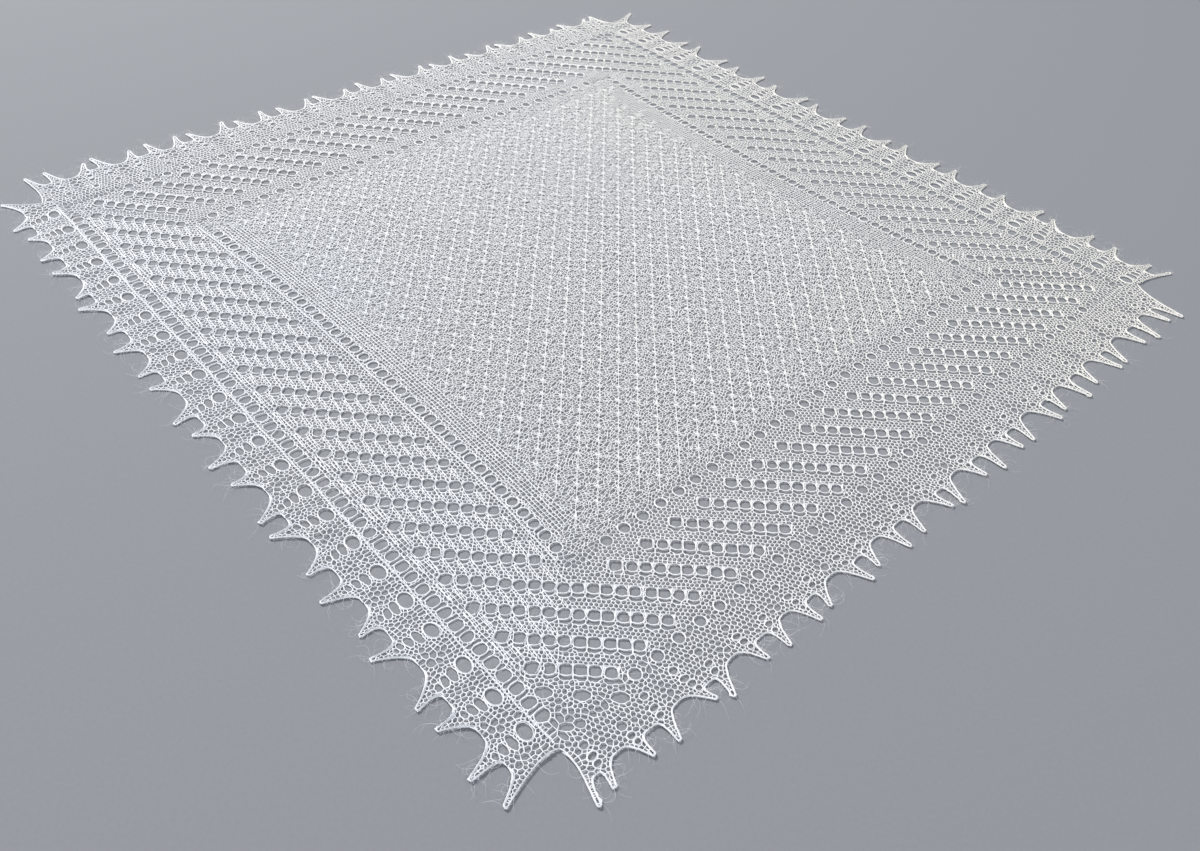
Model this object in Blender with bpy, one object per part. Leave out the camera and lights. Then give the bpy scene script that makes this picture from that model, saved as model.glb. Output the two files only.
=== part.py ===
"""Square knitted lace shawl, pinned out flat: a centre panel, four mitred borders and four toothed edgings.

The square lies on its corner. X runs from the left corner to the right one, along the knitted rows,
and -Y points at the near corner. The underside is the plane z = 0, and the origin is under the middle.
Each piece is a flat wall of lace, and neighbours are a hair's width apart at their seams.
"""
import math

import bpy

# ---- driving dimensions, in metres ------------------------------------------------------------
WALL = 0.002                  # thickness of the lace with its bloom of fine hair
SEAM_GAP = 0.0003             # gap that neighbouring pieces keep at a seam
HALF_DIAGONAL = 0.700         # middle to corner of the knitted square, inside the edging
CENTRE_SHARE = 0.745          # the same for the centre panel, as a share of HALF_DIAGONAL

# How the pinned square leaves the true one, as shares of HALF_DIAGONAL
SIDE_STRETCH = 1.02           # the rows are pulled out a little wider than they were knitted
LENGTH_EASE = 0.9825          # and the columns are a little shorter
FAR_EASE = 0.0175             # the far corner is eased in further than the near one
ROW_BOW = 0.027               # the ends of a row bow away from the near corner

# Teeth of the edging, as shares of HALF_DIAGONAL
TIP_HALF_WIDTH = 0.003        # half the width of a tooth at its tip
EVENING = 0.5                 # bases are this much more even than the tips, which were pinned by hand
PAIR_SHIFT = 0.010            # teeth were pinned out two by two, each this far towards its partner
PIN_SWAY = 0.006              # how uneven the pins are, along a side and out from it
SWAY_TURNS = (1.9, 2.6)       # turn of that unevenness from tooth to tooth, in radians
NARROW_GAP = 0.060            # tips nearer than this have a shallower valley between them
NARROW_LIFT = 0.16            # how much shallower, for each step nearer
CURVE_POWER = 3.2             # 2 is a round valley, more is a flatter one with slimmer teeth
CORNER_POWER = 1.6            # the same for the valley at a corner
VALLEY_STEPS = (1.0, 0.86, 0.66, 0.44, 0.22, 0.06)      # heights at which a valley's curve has points

SEAM_POINTS = 16              # straight runs in a bowed seam


class Side:
    """One side of the shawl. It starts at its clockwise corner. Lengths are shares of HALF_DIAGONAL."""

    def __init__(self, name, outward, waist, valleys, corner, teeth, pairs, ends, reaches):
        self.name = name              # near or far, and left or right
        self.outward = outward        # its outward direction, in degrees
        self.waist = waist            # how far the centre panel is drawn in at the middle of this side
        self.valleys = valleys        # knitted square to the valleys between teeth, at the start and the end
        self.corner = corner          # middle of the shawl to the valley at the start corner
        self.teeth = teeth            # how many
        self.pairs = pairs            # 0 or 1: number of the first tooth that opens a pair
        self.ends = ends              # places of its first and last tooth along the side
        self.reaches = reaches        # how far teeth are out of the knitted square, at the start and the end


SIDE_ROWS = (
    # name,        outward, waist, valleys,        corner, teeth, pairs, ends,            reaches
    ("near_left",  225.0,   0.022, (0.072, 0.072), 1.044, 25,    1,     (-0.755, 0.740), (0.098, 0.110)),
    ("near_right", 315.0,   0.000, (0.061, 0.082), 1.018, 30,    0,     (-0.745, 0.720), (0.090, 0.132)),
    ("far_right",  45.0,    0.022, (0.080, 0.078), 1.044, 25,    0,     (-0.780, 0.750), (0.112, 0.122)),
    ("far_left",   135.0,   0.000, (0.076, 0.084), 1.060, 30,    0,     (-0.740, 0.735), (0.098, 0.126)),
)

LACE_WHITE = (0.80, 0.81, 0.84, 1.0)
LACE_ROUGHNESS = 0.9

ROOT_HALF = math.sqrt(0.5)
SIDE_DISTANCE = ROOT_HALF                      # middle to side of the knitted square
CENTRE_DISTANCE = CENTRE_SHARE * ROOT_HALF     # the same for the centre panel
HALF_GAP = 0.5 * SEAM_GAP / HALF_DIAGONAL


def side_point(outward, along, out):
    """A point given along and out from a side, in the frame of the true square."""
    turn = math.radians(outward)
    return (out * math.cos(turn) - along * math.sin(turn),
            out * math.sin(turn) + along * math.cos(turn))


def pinned(point):
    """Where a point of the true square lies once the shawl is pinned out, in metres."""
    x, y = point
    x_out = x * SIDE_STRETCH
    y_out = y * (LENGTH_EASE - FAR_EASE * y) + ROW_BOW * x * x
    return (x_out * HALF_DIAGONAL, y_out * HALF_DIAGONAL)


def centre_edge(along, waist):
    """Distance from the middle to the centre panel's edge, drawn in at the middle of the side."""
    share = along / CENTRE_DISTANCE
    return CENTRE_DISTANCE - waist * (1.0 - share * share)


def steps(start, end, count):
    return [start + (end - start) * step / count for step in range(count + 1)]


def tooth_rows(side):
    """Each tooth of a side as its base, its lean and its height at the tip."""
    tips, heights = [], []
    for number, (place, reach) in enumerate(zip(steps(*side.ends, side.teeth - 1),
                                                steps(*side.reaches, side.teeth - 1))):
        to_partner = PAIR_SHIFT if number % 2 == side.pairs else -PAIR_SHIFT
        tips.append(place + to_partner + PIN_SWAY * math.sin(SWAY_TURNS[0] * number + side.outward))
        heights.append(SIDE_DISTANCE + reach + PIN_SWAY * math.sin(SWAY_TURNS[1] * number + side.outward))
    rows = []
    for before, tip, after, height in zip(tips[:1] + tips, tips, tips[1:] + tips[-1:], heights):
        base = (1.0 - EVENING) * tip + EVENING * 0.5 * (before + after)
        rows.append((base, tip - base, height))
    return rows


def flank(bottom, spread, rise, power, heights):
    """One side of a tooth: it spreads fast from the valley's bottom and then rises to the tip."""
    return [(bottom[0] + spread[0] * height ** (1.0 / power) + rise[0] * height,
             bottom[1] + spread[1] * height ** (1.0 / power) + rise[1] * height)
            for height in heights]


def flank_to_next(side, tooth, following, way, heights):
    """The side of a tooth that faces the tooth before it (way -1) or after it (way 1)."""
    base, lean, tip = tooth
    middle = 0.5 * (base + following[0])
    share = 0.5 + 0.5 * middle / SIDE_DISTANCE
    tip_gap = abs(base + lean - following[0] - following[1])
    valley = (SIDE_DISTANCE + side.valleys[0] + (side.valleys[1] - side.valleys[0]) * share
              + NARROW_LIFT * max(0.0, NARROW_GAP - tip_gap))
    rise = (lean + way * TIP_HALF_WIDTH, tip - valley)
    return flank((middle, valley), (base - middle, 0.0), rise, CURVE_POWER, heights)


def flank_to_corner(tooth, corner, way, heights):
    """The side of a side's first or last tooth, down to the valley at the corner."""
    base, lean, tip = tooth
    bottom = (way * (corner * ROOT_HALF - HALF_GAP), corner * ROOT_HALF + HALF_GAP)
    reach_along = base + lean + way * TIP_HALF_WIDTH - bottom[0]
    reach_out = tip - bottom[1]
    across = 0.5 * (reach_out - way * reach_along)
    away = 0.5 * (reach_out + way * reach_along)
    return flank(bottom, (-way * across, across), (way * away, away), CORNER_POWER, heights)


def toothed_edge(side, next_side):
    """The outer edge of one edging, from its first corner to its last."""
    rows = tooth_rows(side)
    last = len(rows) - 1
    rising = VALLEY_STEPS[::-1]
    places = []
    for number, tooth in enumerate(rows):
        if number == 0:
            places += flank_to_corner(tooth, side.corner, -1, (0.0,) + rising)
        else:
            places += flank_to_next(side, tooth, rows[number - 1], -1, rising)
        if number == last:
            places += flank_to_corner(tooth, next_side.corner, 1, VALLEY_STEPS + (0.0,))
        else:
            places += flank_to_next(side, tooth, rows[number + 1], 1, VALLEY_STEPS)
    return [side_point(side.outward, along, out) for along, out in places]


def seam(outward, start, end, distance):
    """Points of a seam, where distance gives how far out it is at each place along the side."""
    return [side_point(outward, along, distance(along)) for along in steps(start, end, SEAM_POINTS)]


def centre_outline(sides):
    end = CENTRE_DISTANCE - HALF_GAP
    points = []
    for side in sides:
        edge = seam(side.outward, -end, end, lambda along: centre_edge(along, side.waist) - HALF_GAP)
        points += edge[:-1]
    return points


def border_outline(side):
    inner_end = CENTRE_DISTANCE + HALF_GAP - HALF_GAP * math.sqrt(2.0)
    outer = SIDE_DISTANCE - HALF_GAP
    outer_end = outer - HALF_GAP * math.sqrt(2.0)
    inside = seam(side.outward, -inner_end, inner_end,
                  lambda along: centre_edge(along, side.waist) + HALF_GAP)
    outside = seam(side.outward, outer_end, -outer_end, lambda along: outer)
    return inside + outside


def edging_outline(side, next_side):
    inner = SIDE_DISTANCE + HALF_GAP
    inner_end = inner - HALF_GAP * math.sqrt(2.0)
    inside = seam(side.outward, inner_end, -inner_end, lambda along: inner)
    return inside + toothed_edge(side, next_side)


def shawl_outlines():
    """Every piece's outline, pinned out, with the middle of the whole shawl over the origin."""
    sides = [Side(*row) for row in SIDE_ROWS]
    plain = {"centre_panel": centre_outline(sides)}
    for side, next_side in zip(sides, sides[1:] + sides[:1]):
        plain["border_" + side.name] = border_outline(side)
        plain["edging_" + side.name] = edging_outline(side, next_side)
    outlines = {name: [pinned(point) for point in outline] for name, outline in plain.items()}
    every_x = [x for outline in outlines.values() for x, y in outline]
    every_y = [y for outline in outlines.values() for x, y in outline]
    middle_x = 0.5 * (min(every_x) + max(every_x))
    middle_y = 0.5 * (min(every_y) + max(every_y))
    return {name: [(x - middle_x, y - middle_y) for x, y in outline]
            for name, outline in outlines.items()}


def lace_material(name):
    material = bpy.data.materials.new(name)
    material.use_nodes = True
    shader = material.node_tree.nodes["Principled BSDF"]
    shader.inputs["Base Color"].default_value = LACE_WHITE
    shader.inputs["Roughness"].default_value = LACE_ROUGHNESS
    shader.inputs["Metallic"].default_value = 0.0
    return material


def lace_wall(name, outline, collection):
    """A flat wall of lace with this outline, standing on the plane z = 0."""
    curve = bpy.data.curves.new(name, "CURVE")
    curve.dimensions = "2D"
    curve.fill_mode = "BOTH"
    curve.extrude = 0.5 * WALL
    spline = curve.splines.new("POLY")
    spline.points.add(len(outline) - 1)
    for point, (x, y) in zip(spline.points, outline):
        point.co = (x, y, 0.0, 1.0)
    spline.use_cyclic_u = True
    wall = bpy.data.objects.new(name, curve)
    wall.location.z = 0.5 * WALL
    curve.materials.append(lace_material(name))
    collection.objects.link(wall)


def clear_scene():
    for thing in list(bpy.data.objects):
        bpy.data.objects.remove(thing, do_unlink=True)


def build_shawl():
    clear_scene()
    collection = bpy.data.collections.new("lace_shawl")
    bpy.context.scene.collection.children.link(collection)
    for name, outline in shawl_outlines().items():
        lace_wall(name, outline, collection)


build_shawl()
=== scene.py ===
"""Looks of the square lace shawl: every strand of the centre, the borders and the edgings, knitted in place.

Lace is laid out in the frame of the true square, in shares of its half diagonal, and then pinned out as
the solids are. The middles of the holes are sown first, and the wool runs halfway between neighbours.
"""
import math

import bpy
import numpy as np
from mathutils import Matrix, Vector, geometry, kdtree


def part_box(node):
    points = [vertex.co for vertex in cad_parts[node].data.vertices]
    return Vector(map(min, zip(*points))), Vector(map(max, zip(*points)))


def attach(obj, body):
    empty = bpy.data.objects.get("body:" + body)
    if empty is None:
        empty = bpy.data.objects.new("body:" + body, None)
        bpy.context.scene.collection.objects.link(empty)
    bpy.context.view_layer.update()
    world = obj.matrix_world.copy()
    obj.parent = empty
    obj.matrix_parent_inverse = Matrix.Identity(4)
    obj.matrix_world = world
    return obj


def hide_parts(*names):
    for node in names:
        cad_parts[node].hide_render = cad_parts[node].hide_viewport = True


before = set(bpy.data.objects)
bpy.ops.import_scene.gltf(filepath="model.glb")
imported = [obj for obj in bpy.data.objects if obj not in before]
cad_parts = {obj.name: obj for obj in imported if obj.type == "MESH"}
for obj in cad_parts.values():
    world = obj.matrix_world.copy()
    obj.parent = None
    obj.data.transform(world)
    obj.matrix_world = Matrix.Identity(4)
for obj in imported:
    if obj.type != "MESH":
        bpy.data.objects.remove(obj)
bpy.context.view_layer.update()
dice = np.random.default_rng(20)

# ---- the pinned-out square, as in the solids ---------------------------------------------------
HALF_DIAGONAL = 0.700         # middle to corner of the knitted square, in metres
CENTRE_SHARE = 0.745          # the same for the centre panel, as a share
SIDE_STRETCH = 1.02           # the rows are pulled out a little wider than they were knitted
LENGTH_EASE = 0.9825          # and the columns are a little shorter
FAR_EASE = 0.0175             # the far corner is eased in further than the near one
ROW_BOW = 0.027               # the ends of a row bow away from the near corner
TIP_HALF_WIDTH = 0.003        # half the width of a tooth at its tip
EVENING = 0.5                 # bases are this much more even than the tips, which were pinned by hand
PAIR_SHIFT = 0.010            # teeth were pinned out two by two, each this far towards its partner
PIN_SWAY = 0.006              # how uneven the pins are, along a side and out from it
SWAY_TURNS = (1.9, 2.6)       # turn of that unevenness from tooth to tooth, in radians
NARROW_GAP = 0.060            # tips nearer than this have a shallower valley between them
NARROW_LIFT = 0.16            # how much shallower, for each step nearer
CURVE_POWER = 3.2             # 2 is a round valley between teeth, more is a flatter one
CORNER_POWER = 1.6            # the same at a corner
FLANK_STEPS = 12              # straight runs in one flank of a tooth
ROOT_HALF = math.sqrt(0.5)
SIDE_DISTANCE = ROOT_HALF
CENTRE_DISTANCE = CENTRE_SHARE * ROOT_HALF

# ---- the lace, in shares of HALF_DIAGONAL -------------------------------------------------------
CELL = 0.0067                 # an ordinary small hole
CLEAR = 0.0041                # nearest that two holes' middles come
CLOSE = 0.0036                # the same for narrow holes, for the edgings, and for parts of one hole
EDGING_CLEAR = 0.0042
PART_CLEAR = 0.0030
RIB_CELL, BAND_CELL, STITCH_CELL = 0.0062, 0.0070, 0.0054       # pitches along ribs, ladders, long stitches
RIB_HALF = 0.0027             # a rib's middle to the holes beside it
RIB_CLEAR = 0.0040            # and how far these keep from other holes
LINE_END = 0.004              # what runs along a side ends this far from the corners
STITCH_FOOT, STITCH_REACH = 0.0200, 0.0042      # long stitches of the edgings: place out, half length
RIM_CELL, RIM_GAP = 0.0058, 0.0026              # pitch along the outer edge, and half the gap across it
RIM_CLEAR = 0.0047            # holes inside the edge keep this far from places outside it
EDGING_CELLS = {True: (0.0054, 0.0078), False: (0.0064, 0.0072)}      # along and out, dense sides and open
EDGING_START, EDGING_END = 0.0100, 0.140        # where their rows begin and end, out of the knitted square
GATHER = 0.45                 # how much their columns run together towards a tip
HOLE_STEP = 0.0040            # a wide hole is sown as rings this far apart
RIM = 0.0023                  # half the gap between an eyelet's edge and the middles round it
# lines of eyelets, on dense sides and on open ones: pitch, half sizes along and out, room at the corners
OUTER_LINE = {True: (0.0245, (0.0084, 0.0106), 0.026), False: (0.0400, (0.0090, 0.0096), 0.100)}
INNER_LINE = {True: (0.0265, (0.0090, 0.0098), 0.026), False: (0.0370, (0.0094, 0.0100), 0.026)}
SLIT_ROOM = 0.030             # room at the corners for the narrow holes between two of them
SLIT_REACH = 0.72             # their half length, as a share of the eyelets'
ROW_COUNT = 44                # eyelet rows from the near corner to the far one
ROW_REACH = 0.9115            # middle to the first and last of them
ROW_HOLE_PITCH = 0.0196
ROW_HOLE = (0.0083, 0.0092)
WIDE_HOLE = (0.0112, 0.0096)  # the first eyelet of a row
SQUARE_TOP = 0.84             # 1 is a round top, less is squarer
ROW_CLEAR = 0.0100            # nearest that a row's eyelet comes to another hole
ROW_TURN = 16.0               # the dense sides' eyelets lean by this many degrees
# small holes between two rows, by their height above the lower one's middle
ROW_LAYERS = (-0.0122, -0.0061, 0.0, 0.0060, 0.0119, 0.0180, 0.0241)
LADDERS = (0.0, 0.0072, 0.0124)       # columns of small holes for each eyelet of the dense sides
DENSE_RANGE = (0.775, 0.950)          # reach of a row on the dense sides, as |x| + |y|
OPEN_RANGE = (0.805, 0.962)           # and on the open sides
STAR_PITCH = (0.0309, 0.0317)         # knots of the centre, across and along
STAR_START = (0.0152, 0.0067)         # place of the first one
STAR_LEAN = -0.025            # lean of their columns
STAR_SPREAD = 0.097           # how the outer columns stand wider
STAR_TURN = (-0.005, 0.062)   # slope of the middle row, and how the rows fan out from it
STAR_BOW = -0.132             # bow of the rows
LONG_CELLS, NARROW_CELLS = 3, 6       # small holes from knot to knot, along one diagonal and the other
LONG_NOISE, NARROW_NOISE = 0.028, 0.020       # how uneven these are, as shares of a knot's pitch
MERGED_SHARE = 0.13           # this share of the small holes opens into the next one,
MERGED_REACH = 0.0115         # if that is nearer than this
DENSE_STAR_REACH = 0.632      # knots reach this |x| + |y| on the dense sides
OPEN_STAR_REACH = 0.690
LEAN = 0.80                   # sideways run of the dense borders' columns for each step down
FOAM_LEAN = 0.12              # the same for the open ones
BORDER_EDGE = 0.003           # small holes of a border stay this far inside it
RIB_OUTSIDE = 0.0135          # the two ribs of a dense side, out from each line of eyelets
RIB_INSIDE = 0.0145
BAND_PITCH = 0.0063           # ladders that run along the dense sides, and the first one's drop
BORDER_DROP, CENTRE_DROP = 0.0142, 0.0147
BORDER_BANDS, CENTRE_BANDS = 5, 6

FAR_MIDDLE = 0.012            # a knot further than this from its triangle's centroid goes there instead
SHARPEST = 0.16               # keeps strands from running out to a spike at a sharp bend
EYELET_STRANDS = 9            # a hole with this many strands or more is an eyelet
WIDTH_SWAY = 0.22             # how uneven strands' widths are, as a share
MOST_FILLED = 0.75            # a strand takes no more than this share of the way to a hole's middle

# Wool, in metres
STRAND = 0.00046              # half the width of an ordinary strand
CENTRE_STRAND = 0.86          # the centre's, as a share of it
CLOSE_KNOTS = 0.0013          # knots nearer than this share of HALF_DIAGONAL are one
RIM_SHARE = 1.35              # strands round an eyelet are this much wider
STRAND_TOP = 0.0015           # height of a strand's ridge and of its edges above the floor
STRAND_FOOT = 0.0009

OUTSIDE = -1


class Side:
    """One side of the shawl, as in the solids."""

    def __init__(self, name, outward, waist, valleys, corner, dense, teeth, pairs, ends, reaches):
        self.name = name
        self.outward = outward
        self.waist = waist
        self.valleys = valleys
        self.corner = corner
        self.dense = dense                # its eyelets are close together and lean
        self.teeth = teeth
        self.pairs = pairs                # 0 or 1: number of the first tooth that opens a pair
        self.ends = ends
        self.reaches = reaches

    def place(self, along, out):
        """Points of the true square that lie along and out from this side."""
        turn = math.radians(self.outward)
        along = np.asarray(along, float)
        out = np.asarray(out, float)
        return np.stack([out * math.cos(turn) - along * math.sin(turn),
                         out * math.sin(turn) + along * math.cos(turn)], -1)

    def inner(self, along):
        """Distance from the middle to the centre panel's edge."""
        share = np.asarray(along, float) / CENTRE_DISTANCE
        return CENTRE_DISTANCE - self.waist * (1.0 - share * share)


SIDE_ROWS = (
    # name, outward, waist, valleys, corner, dense, teeth, pairs, ends, reaches
    ("near_left", 225.0, 0.022, (0.072, 0.072), 1.044, True, 25, 1, (-0.755, 0.740), (0.098, 0.110)),
    ("near_right", 315.0, 0.000, (0.061, 0.082), 1.018, False, 30, 0, (-0.745, 0.720), (0.090, 0.132)),
    ("far_right", 45.0, 0.022, (0.080, 0.078), 1.044, True, 25, 0, (-0.780, 0.750), (0.112, 0.122)),
    ("far_left", 135.0, 0.000, (0.076, 0.084), 1.060, False, 30, 0, (-0.740, 0.735), (0.098, 0.126)),
)

SIDES = [Side(*row) for row in SIDE_ROWS]


def tooth_rows(side):
    """Each tooth of a side as its base, its lean and its height at the tip."""
    number = np.arange(side.teeth)
    to_partner = np.where(number % 2 == side.pairs, PAIR_SHIFT, -PAIR_SHIFT)
    tips = (np.linspace(*side.ends, side.teeth) + to_partner
            + PIN_SWAY * np.sin(SWAY_TURNS[0] * number + side.outward))
    heights = (SIDE_DISTANCE + np.linspace(*side.reaches, side.teeth)
               + PIN_SWAY * np.sin(SWAY_TURNS[1] * number + side.outward))
    spread = np.concatenate([tips[:1], tips, tips[-1:]])
    bases = (1.0 - EVENING) * tips + EVENING * 0.5 * (spread[:-2] + spread[2:])
    return list(zip(bases, tips - bases, heights))


def flank(bottom, spread, rise, power):
    """One side of a tooth, from the valley's bottom to the tip, as an array of along and out."""
    height = np.linspace(0.0, 1.0, FLANK_STEPS + 1) ** 1.5
    fast = height ** (1.0 / power)
    return np.stack([bottom[0] + spread[0] * fast + rise[0] * height,
                     bottom[1] + spread[1] * fast + rise[1] * height], -1)


def flank_to_next(side, tooth, following, way):
    base, lean, tip = tooth
    middle = 0.5 * (base + following[0])
    share = 0.5 + 0.5 * middle / SIDE_DISTANCE
    tip_gap = abs(base + lean - following[0] - following[1])
    valley = (SIDE_DISTANCE + side.valleys[0] + (side.valleys[1] - side.valleys[0]) * share
              + NARROW_LIFT * max(0.0, NARROW_GAP - tip_gap))
    rise = (lean + way * TIP_HALF_WIDTH, tip - valley)
    return flank((middle, valley), (base - middle, 0.0), rise, CURVE_POWER)


def flank_to_corner(tooth, corner, way):
    base, lean, tip = tooth
    bottom = (way * corner * ROOT_HALF, corner * ROOT_HALF)
    reach_along = base + lean + way * TIP_HALF_WIDTH - bottom[0]
    reach_out = tip - bottom[1]
    across = 0.5 * (reach_out - way * reach_along)
    away = 0.5 * (reach_out + way * reach_along)
    return flank(bottom, (-way * across, across), (way * away, away), CORNER_POWER)


def side_flanks(side, next_side):
    """For each tooth its two flanks, each from the valley up, in along and out."""
    rows = tooth_rows(side)
    last = len(rows) - 1
    flanks = []
    for number, tooth in enumerate(rows):
        if number == 0:
            before = flank_to_corner(tooth, side.corner, -1)
        else:
            before = flank_to_next(side, tooth, rows[number - 1], -1)
        if number == last:
            after = flank_to_corner(tooth, next_side.corner, 1)
        else:
            after = flank_to_next(side, tooth, rows[number + 1], 1)
        flanks.append((before, after))
    return flanks


FLANKS = {side.name: side_flanks(side, next_side)
          for side, next_side in zip(SIDES, SIDES[1:] + SIDES[:1])}


def outer_outline():
    """The toothed outline of the whole shawl, in the true square."""
    runs = []
    for side in SIDES:
        for before, after in FLANKS[side.name]:
            runs.append(side.place(*before[:-1].T))
            runs.append(side.place(*after[::-1][:-1].T))
    return np.concatenate(runs)


def pinned(points):
    """Where points of the true square lie once pinned out, in metres."""
    x, y = points[..., 0], points[..., 1]
    x_out = x * SIDE_STRETCH
    y_out = y * (LENGTH_EASE - FAR_EASE * y) + ROW_BOW * x * x
    return np.stack([x_out, y_out], -1) * HALF_DIAGONAL


def centring():
    """Shift from the square's middle to the frame's origin, read from the centre panel's solid."""
    low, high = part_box("centre_panel")
    ends = pinned(np.array([(0.0, -CENTRE_SHARE), (0.0, CENTRE_SHARE)]))
    return np.array([0.5 * (low[0] + high[0]), 0.5 * (low[1] + high[1]) - ends[:, 1].mean()])


SHIFT = centring()


def laid(points):
    """Points of the true square as they lie on the floor, in the shared frame, in metres."""
    return pinned(np.asarray(points, float)) + SHIFT


def lift(ground):
    """Soft unevenness of cloth that was pinned out by hand, in metres above where it would lie flat."""
    x, y = ground[..., 0], ground[..., 1]
    swell = np.sin(9.0 * x + 3.0 * np.sin(5.0 * y)) * np.sin(8.0 * y + 2.0 * np.sin(6.0 * x + 1.0))
    pull = np.sin(31.0 * (x + y) + 4.0 * np.sin(7.0 * x)) * np.sin(17.0 * (x - y) + 1.0)
    return 0.0009 * (1.0 + swell) * 0.5 + 0.0005 * (1.0 + pull) * 0.5


# ---- sowing the holes ---------------------------------------------------------------------------
class Bed:
    """Middles of the lace's holes. Those that share a number open into one hole."""

    def __init__(self):
        self.places = []
        self.holes = []
        self.pieces = []              # the piece that each hole belongs to
        self.tree = None

    def refresh(self):
        total = sum(len(part) for part in self.places)
        self.tree = kdtree.KDTree(total)
        number = 0
        for part in self.places:
            for x, y in part:
                self.tree.insert((x, y, 0.0), number)
                number += 1
        self.tree.balance()

    def clear_of(self, places, clearance):
        """Which places are at least this far from everything sown before."""
        if self.tree is None:
            return np.ones(len(places), bool)
        find = self.tree.find
        return np.fromiter((find((x, y, 0.0))[2] >= clearance for x, y in places), bool, len(places))

    def sow(self, places, piece, clearance=0.0, together=None):
        """Sow holes. together gives equal numbers to places that open into one hole."""
        places = np.asarray(places, float).reshape(-1, 2)
        if together is None:
            together = np.arange(len(places))
        else:
            together = np.asarray(together)
        piece = np.broadcast_to(piece, len(places))
        if clearance > 0.0:
            keep = self.clear_of(places, clearance)
            places, together, piece = places[keep], together[keep], piece[keep]
        if len(places) == 0:
            return
        kinds, numbers = np.unique(together, return_inverse=True)
        first = len(self.pieces)
        owners = np.zeros(len(kinds), int)
        owners[numbers] = piece
        self.pieces += owners.tolist()
        self.places.append(places)
        self.holes.append(first + numbers)

    def sow_outside(self, places):
        self.places.append(places)
        self.holes.append(np.full(len(places), OUTSIDE))


def rounded(count, half_x, half_y, top=1.0):
    """Points round a hole whose upper half is squarer the smaller top is."""
    angle = (np.arange(count) + 0.5) * 2.0 * math.pi / count
    across, up = np.cos(angle), np.sin(angle)
    power = np.where(up > 0.0, top, 1.0)
    return np.stack([half_x * np.sign(across) * np.abs(across) ** power,
                     half_y * np.sign(up) * np.abs(up) ** power], -1)


def open_hole(half_x, half_y, top=1.0):
    """Middles that open into one hole of this size, and a ring of small holes round it."""
    count = max(7, int(round(math.pi * (half_x + half_y) / (1.4 * HOLE_STEP))))
    inside = [rounded(count, half_x - RIM, half_y - RIM, top)]
    depth = RIM + HOLE_STEP
    while max(half_x, half_y) - depth > 0.3 * HOLE_STEP:
        inside.append(rounded(count, max(half_x - depth, 0.1 * HOLE_STEP),
                              max(half_y - depth, 0.1 * HOLE_STEP), top))
        depth += HOLE_STEP
    inside.append(np.zeros((1, 2)))
    return np.concatenate(inside), rounded(count, half_x + RIM, half_y + RIM, top)


def crescent(half_x, half_y, drop, spread, count):
    """Places along an arc under a hole."""
    angle = np.radians(270.0 + np.linspace(-spread, spread, count))
    return np.stack([(half_x + drop) * np.cos(angle), (half_y + drop) * np.sin(angle)], -1)


def turned(points, degrees):
    turn = math.radians(degrees)
    spin = np.array([[math.cos(turn), math.sin(turn)], [-math.sin(turn), math.cos(turn)]])
    return points @ spin


CENTRE = 0
BORDER = {side.name: 1 + number for number, side in enumerate(SIDES)}
EDGING = {side.name: 5 + number for number, side in enumerate(SIDES)}


def upright(reach, tilt):
    """Three places in a row that open into one narrow hole."""
    return turned(np.array([(0.0, -reach), (0.0, 0.0), (0.0, reach)]), tilt)


def line_places(distance, pitch, shift=0.0, margin=0.0):
    """Evenly spaced middles along a side, at a distance that may depend on the place."""
    reach = distance(0.0) if callable(distance) else distance
    count = int((reach - margin) / pitch)
    along = (np.arange(-count, count + 1) + shift) * pitch
    out = distance(along) if callable(distance) else np.full(len(along), distance)
    keep = np.abs(along) < out - margin
    return along[keep], out[keep]


def sow_together(bed, middles, pattern, piece, clearance):
    """A pattern of places round each middle, which open into one hole for each middle."""
    places = (middles[:, None, :] + pattern[None]).reshape(-1, 2)
    numbers = np.repeat(np.arange(len(middles)), len(pattern))
    if np.ndim(piece):
        piece = np.repeat(piece, len(pattern))
    bed.sow(places, piece, clearance, numbers)


EYELET_LINES = []             # side, middles and half sizes of each line of eyelets


def sow_eyelet_line(bed, side, distance, line, piece):
    """Sow a line of eyelets, with narrow holes between on the dense sides. Gives the places round them."""
    pitch, half_sizes, room = line[side.dense]
    tilt = side.outward + 90.0
    inside, round_it = open_hole(*half_sizes)
    along, out = line_places(distance, pitch, 0.5, room)
    along = along + dice.normal(0.0, 0.0006, len(along))
    out = out + dice.normal(0.0, 0.0004, len(out))
    middles = side.place(along, out)
    EYELET_LINES.append((side, middles, half_sizes))
    sow_together(bed, middles, turned(inside, tilt), piece, 0.0)
    if side.dense:
        bed.refresh()
        along, out = line_places(distance, pitch, 0.0, SLIT_ROOM)
        sow_together(bed, side.place(along, out), upright(SLIT_REACH * half_sizes[1], tilt), piece, CLOSE)
    return (middles[:, None, :] + turned(round_it, tilt)[None]).reshape(-1, 2)


CORNER_ROWS = (
    # height, eyelets, pitch, place of the middle one, half sizes
    (-0.945, 3, 0.048, 0.024, (0.0122, 0.0080)),
    (-0.984, 3, 0.050, 0.024, (0.0082, 0.0066)),
    (0.948, 3, 0.039, 0.000, (0.0112, 0.0085)),
)


def sow_corner_eyelets(bed):
    """Short rows of flat eyelets inside the near corner and the far one."""
    for y, count, pitch, middle, half_sizes in CORNER_ROWS:
        for x in middle + pitch * (np.arange(count) - 0.5 * (count - 1)):
            spot = np.array([[x, y]])
            inside, rim = open_hole(*half_sizes)
            owner = BORDER if abs(x) + abs(y) < 1.0 else EDGING
            piece = owner[("near_" if y < 0.0 else "far_") + ("left" if x < 0.0 else "right")]
            bed.refresh()
            sow_together(bed, spot, inside, piece, PART_CLEAR)
            bed.refresh()
            bed.sow(spot + rim, piece, CLEAR)


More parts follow.
